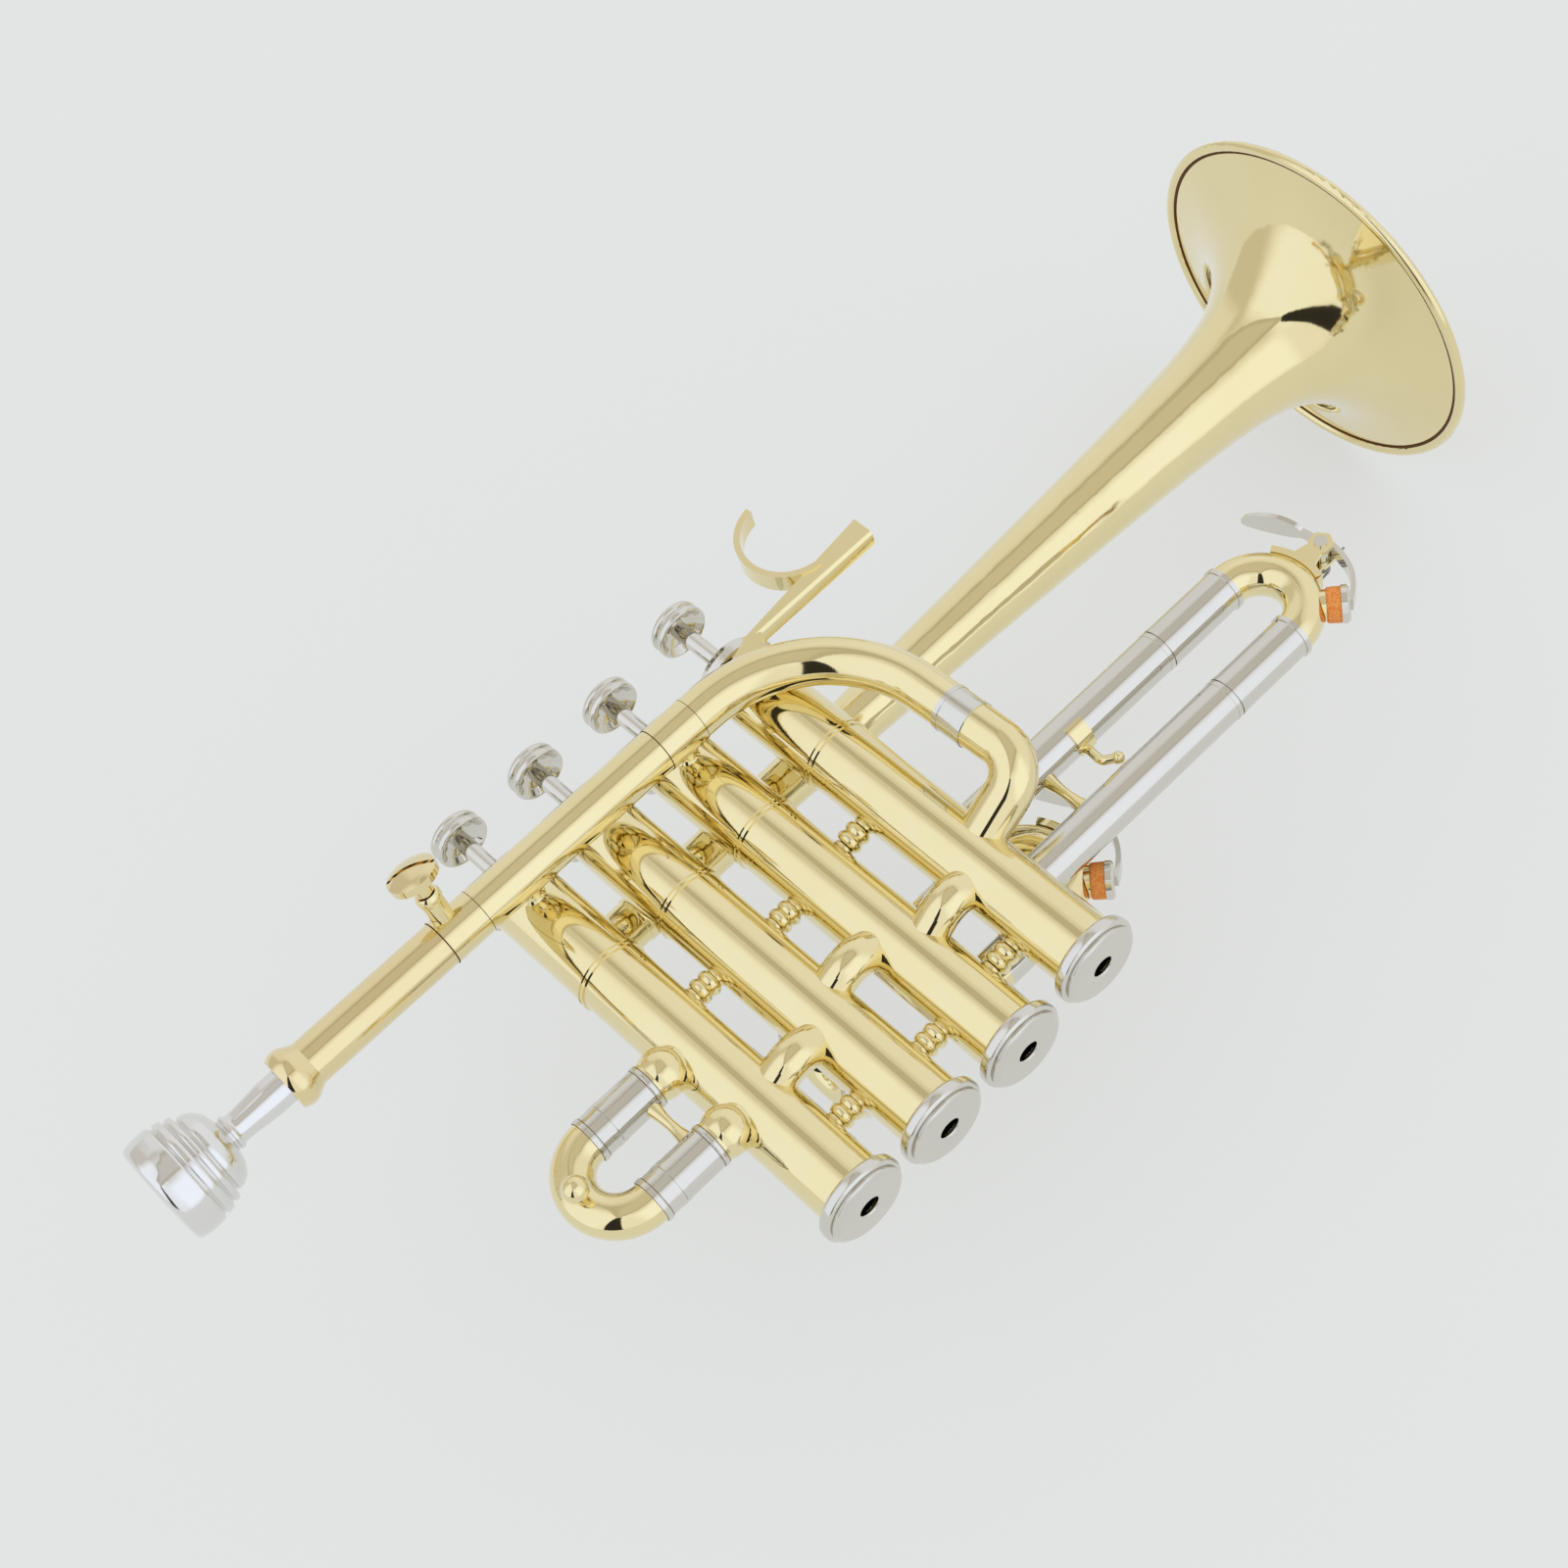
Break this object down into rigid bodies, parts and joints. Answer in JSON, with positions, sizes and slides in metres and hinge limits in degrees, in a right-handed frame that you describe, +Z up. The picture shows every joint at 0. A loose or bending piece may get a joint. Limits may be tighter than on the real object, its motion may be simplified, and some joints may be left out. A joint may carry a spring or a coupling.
{
  "type": "piccolo trumpet",
  "caption": "Small high trumpet with valves in a row, finger buttons, tuning slides with water keys, a clamped leadpipe, a finger hook and a short flared bell.",
  "frame": {"origin": "middle of the base of the box around the whole instrument, which lies on its left side", "axes": "+X runs along the leadpipe and bell toward the bell's mouth, +Y along the valves toward the finger buttons, +Z up, toward the side that is the player's right"},
  "size_m": [0.3634, 0.1506, 0.1063],
  "materials": {
    "gold_lacquered_brass": "bright gold-lacquered brass",
    "rose_brass": "bright lacquered rose brass",
    "nickel_plate": "polished nickel plate",
    "silver_plate": "polished silver plate",
    "cork": "orange dyed cork",
    "spring_wire": "drawn spring wire",
    "piston_monel": "lapped nickel-copper alloy"
  },
  "bodies": {
    "horn": {"crook": "gold_lacquered_brass", "crook_elbow": "gold_lacquered_brass", "crook_ferrule": "nickel_plate", "bell": "gold_lacquered_brass", "bell_bow": "gold_lacquered_brass", "pipe_braces": "gold_lacquered_brass", "pipe_ferrules": "gold_lacquered_brass", "slide_elbows": "gold_lacquered_brass", "slide_sleeves": "nickel_plate", "slide_4_rest": "gold_lacquered_brass", "finger_hook": "gold_lacquered_brass", "knuckles": "gold_lacquered_brass", "valve_posts": "gold_lacquered_brass", "leadpipe_body": "gold_lacquered_brass", "clamp_collar": "gold_lacquered_brass", "valve_bottom_caps": "nickel_plate", "valve_top_caps": "nickel_plate", "valve_guides": "piston_monel", "valve_1_casing": "gold_lacquered_brass", "valve_2_casing": "gold_lacquered_brass", "valve_3_casing": "gold_lacquered_brass", "valve_4_casing": "gold_lacquered_brass", "valve_1_spring": "spring_wire", "valve_2_spring": "spring_wire", "valve_3_spring": "spring_wire", "valve_4_spring": "spring_wire"},
    "leadpipe": {"leadpipe": "rose_brass", "receiver_ring": "rose_brass"},
    "mouthpiece": {"mouthpiece": "silver_plate"},
    "clamp_screw": {"clamp_screw": "rose_brass"},
    "valve_1": {"valve_1_piston": "piston_monel", "valve_1_stem": "nickel_plate", "valve_1_button": "nickel_plate"},
    "slide_1": {"slide_1_legs": "nickel_plate", "slide_1_bow": "gold_lacquered_brass"},
    "valve_2": {"valve_2_piston": "piston_monel", "valve_2_stem": "nickel_plate", "valve_2_button": "nickel_plate"},
    "slide_2": {"slide_2_legs": "nickel_plate", "slide_2_bow": "gold_lacquered_brass"},
    "valve_3": {"valve_3_piston": "piston_monel", "valve_3_stem": "nickel_plate", "valve_3_button": "nickel_plate"},
    "slide_3": {"slide_3_legs": "nickel_plate", "slide_3_bow": "gold_lacquered_brass", "key_3_saddle": "gold_lacquered_brass", "key_3_screw": "nickel_plate", "key_3_spring": "spring_wire"},
    "valve_4": {"valve_4_piston": "piston_monel", "valve_4_stem": "nickel_plate", "valve_4_button": "nickel_plate"},
    "slide_4": {"slide_4_legs": "nickel_plate", "slide_4_bow": "gold_lacquered_brass", "key_4_saddle": "gold_lacquered_brass", "key_4_screw": "nickel_plate", "key_4_spring": "spring_wire"},
    "key_3": {"key_3_lever": "nickel_plate", "key_3_cork": "cork"},
    "key_4": {"key_4_lever": "nickel_plate", "key_4_cork": "cork"}
  },
  "joints": [
    {"name": "leadpipe_slide", "type": "slide", "parent": "horn", "child": "leadpipe", "axis": [-1, 0, 0], "range_m": [0, 0.02]},
    {"name": "mouthpiece_pull", "type": "slide", "parent": "leadpipe", "child": "mouthpiece", "axis": [-1, 0, 0], "range_m": [0, 0.022]},
    {"name": "clamp_screw_turn", "type": "hinge", "parent": "horn", "child": "clamp_screw", "pos_m": [-0.0957, 0.03715, 0.09331], "axis": [0, 0.4067, 0.9135], "range_deg": [0, 360]},
    {"name": "valve_1_press", "type": "slide", "parent": "horn", "child": "valve_1", "axis": [0, -1, 0], "range_m": [0, 0.0145], "stiffness_N_per_m": 110, "springref_m": -0.014, "deforming": ["valve_1_spring"]},
    {"name": "valve_2_press", "type": "slide", "parent": "horn", "child": "valve_2", "axis": [0, -1, 0], "range_m": [0, 0.0145], "stiffness_N_per_m": 110, "springref_m": -0.014, "deforming": ["valve_2_spring"]},
    {"name": "valve_3_press", "type": "slide", "parent": "horn", "child": "valve_3", "axis": [0, -1, 0], "range_m": [0, 0.0145], "stiffness_N_per_m": 110, "springref_m": -0.014, "deforming": ["valve_3_spring"]},
    {"name": "valve_4_press", "type": "slide", "parent": "horn", "child": "valve_4", "axis": [0, -1, 0], "range_m": [0, 0.0145], "stiffness_N_per_m": 110, "springref_m": -0.014, "deforming": ["valve_4_spring"]},
    {"name": "slide_1_pull", "type": "slide", "parent": "horn", "child": "slide_1", "axis": [-1, 0, 0], "range_m": [0, 0.008]},
    {"name": "slide_2_pull", "type": "slide", "parent": "horn", "child": "slide_2", "axis": [0, 0, -1], "range_m": [0, 0.005]},
    {"name": "slide_3_pull", "type": "slide", "parent": "horn", "child": "slide_3", "axis": [1, 0, 0], "range_m": [0, 0.007]},
    {"name": "slide_4_pull", "type": "slide", "parent": "horn", "child": "slide_4", "axis": [1, 0, 0], "range_m": [0, 0.04]},
    {"name": "key_3_press", "type": "hinge", "parent": "slide_3", "child": "key_3", "pos_m": [0.0281, -0.04, 0.0557], "axis": [0, 0, 1], "range_deg": [0, 14], "stiffness_Nm_per_rad": 0.02, "springref_deg": -17.19, "deforming": ["key_3_spring"]},
    {"name": "key_4_press", "type": "hinge", "parent": "slide_4", "child": "key_4", "pos_m": [0.1137, -0.0359, 0.0665], "axis": [0, 0, 1], "range_deg": [0, 14], "stiffness_Nm_per_rad": 0.02, "springref_deg": -17.19, "deforming": ["key_4_spring"]}
  ]
}
